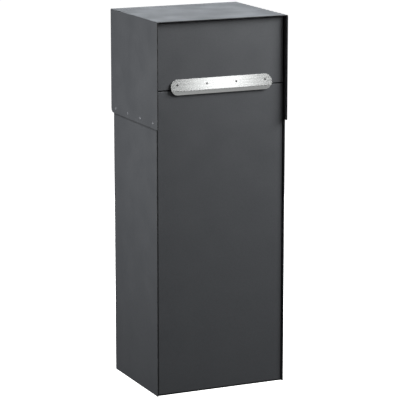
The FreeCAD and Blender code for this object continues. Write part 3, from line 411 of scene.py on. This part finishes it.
# ---------------------------------------------------------------------------
# Bushes and washer of the rear door's hinge
# Natural nylon, turned: cream white and slightly see-through.
# ---------------------------------------------------------------------------
def nylon_finish():
    """Turned nylon: waxy cream, with light that sinks in a millimetre or so."""
    TONE_MM, DEPTH_MM = 3, 1.5
    made, tree, shader, place = new_finish("natural_nylon", IOR=1.53, Subsurface_Weight=0.1,
                                           Subsurface_Scale=DEPTH_MM * MM)
    tone = add_node(tree, "ShaderNodeTexNoise", {"Scale": 1 / (TONE_MM * MM)},
                    [("Vector", place, "Object")])
    colour = add_node(tree, "ShaderNodeValToRGB", links=[("Fac", tone, "Fac")],
                      ramp=[(0.3, "#d6d2c4"), (0.7, "#e2dfd3")])
    tree.links.new(colour.outputs["Color"], shader.inputs["Base Color"])
    rough = add_node(tree, "ShaderNodeMapRange", {"To Min": 0.4, "To Max": 0.5},
                     [("Value", tone, "Fac")])
    tree.links.new(rough.outputs["Result"], shader.inputs["Roughness"])
    return made


dress(["door_bushes", "door_washer"], nylon_finish())


# ---------------------------------------------------------------------------
# Plain pale floor
# White to the eye, and a duller grey for the light it throws on the steel, so
# that the foot of the cabinet stays darker than its top.
# ---------------------------------------------------------------------------
def floor():
    """A flat sheet of painted board, 60 m across, so that its edge is never seen."""
    GLOW, HALF_WIDTH = 0.97, 30
    made, tree, shader, place = new_finish("pale_floor", Roughness=0.9)
    tone = add_node(tree, "ShaderNodeTexNoise", {"Scale": 1.5}, [("Vector", place, "Object")])
    white = add_node(tree, "ShaderNodeValToRGB", links=[("Fac", tone, "Fac")],
                     ramp=[(0.3, "#f4f4f3"), (0.7, "#f7f7f6")])
    path = add_node(tree, "ShaderNodeLightPath")
    colour = add_node(tree, "ShaderNodeMix", {"A": srgb("#3c3c3c")},
                      [("Factor", path, "Is Camera Ray"), ("B", white, "Color")], data_type="RGBA")
    glow = add_node(tree, "ShaderNodeMath", {1: GLOW}, [(0, path, "Is Camera Ray")],
                    operation="MULTIPLY")
    tree.links.new(colour.outputs["Result"], shader.inputs["Base Color"])
    tree.links.new(glow.outputs["Value"], shader.inputs["Emission Strength"])
    shader.inputs["Emission Color"].default_value = srgb("#ffffff")
    bm = bmesh.new()
    bmesh.ops.create_grid(bm, x_segments=1, y_segments=1, size=HALF_WIDTH)
    ground = finished("floor", bm, made, smooth=False)
    if ground.data.polygons[0].normal.z < 0:
        ground.data.flip_normals()


floor()


# ---------------------------------------------------------------------------
# Soft studio light
# Eight plain soft boxes, none seen by the camera: each lights one side of the
# box, and the small ones draw the shine on the strip and its lip.
# ---------------------------------------------------------------------------
def soft_box(name, place, aim, width, height, watts, colour="#ffffff"):
    """An area light at a place in metres, turned to its aim, of a size in metres."""
    lamp = bpy.data.lights.new(name, "AREA")
    lamp.shape = "RECTANGLE"
    lamp.size = width
    lamp.size_y = height
    lamp.energy = watts
    lamp.color = srgb(colour)[:3]
    item = bpy.data.objects.new(name, lamp)
    item.location = place
    item.rotation_euler = (Vector(aim) - Vector(place)).to_track_quat("-Z", "Y").to_euler()
    item.visible_camera = False
    bpy.context.scene.collection.objects.link(item)


soft_box("front_light", (1.32, -1.05, 1.88), (0, -0.15, 0.9), 1.1, 1.0, 74)
soft_box("strip_light", (0.834, -1.92, 1.2), (0, -0.16, 0.885), 0.19, 0.9, 1.1)
soft_box("lip_light", (0.6, -1.35, 0.15), (0, -0.16, 0.865), 0.9, 0.5, 0.5)
soft_box("fill_light", (-1.3, -2.8, 1.0), (0, -0.15, 0.9), 3.0, 1.8, 7)
soft_box("side_light", (-1.4, 0.05, 0.8), (-0.2, 0, 0.85), 0.7, 0.6, 19.5)
soft_box("brim_light", (-0.85, 0.35, 2.5), (-0.2, 0, 0.9), 0.4, 0.4, 18)
soft_box("back_light", (1.1, 2.6, 1.7), (0, 0, 1.0), 2.6, 1.6, 26, "#f1f8ff")
soft_box("rear_light", (0.9, 2.4, 0.6), (0, 0.15, 0.6), 1.6, 0.9, 32)


def surroundings():
    """White behind the object, and a dim even room for all the light that reaches it."""
    world = bpy.data.worlds.new("studio")
    world.use_nodes = True
    bpy.context.scene.world = world
    tree = world.node_tree
    tree.nodes.clear()
    path = add_node(tree, "ShaderNodeLightPath")
    seen = add_node(tree, "ShaderNodeBackground", {"Color": srgb("#ffffff"), "Strength": 1.0})
    room = add_node(tree, "ShaderNodeBackground", {"Color": srgb("#ffffff"), "Strength": 0.07})
    mixed = add_node(tree, "ShaderNodeMixShader", links=[("Fac", path, "Is Camera Ray")])
    tree.links.new(room.outputs[0], mixed.inputs[1])
    tree.links.new(seen.outputs[0], mixed.inputs[2])
    add_node(tree, "ShaderNodeOutputWorld", links=[("Surface", mixed, "Shader")])


surroundings()
bpy.context.scene.view_settings.view_transform = "Standard"


# ---------------------------------------------------------------------------
# Camera
# A long lens over six metres away, left of the front and a little above the
# hood, looking 12 degrees down.
# ---------------------------------------------------------------------------
LOOK_DOWN, LOOK_RIGHT = 12.06, 24.43
eye = bpy.data.cameras.new("eye")
eye.lens = 199.06
eye.sensor_width = 36
viewer = bpy.data.objects.new("eye", eye)
viewer.location = (-2.5796, -5.690, 1.8584)
viewer.rotation_euler = (radians(90 - LOOK_DOWN), 0, radians(-LOOK_RIGHT))
bpy.context.scene.collection.objects.link(viewer)
bpy.context.scene.camera = viewer
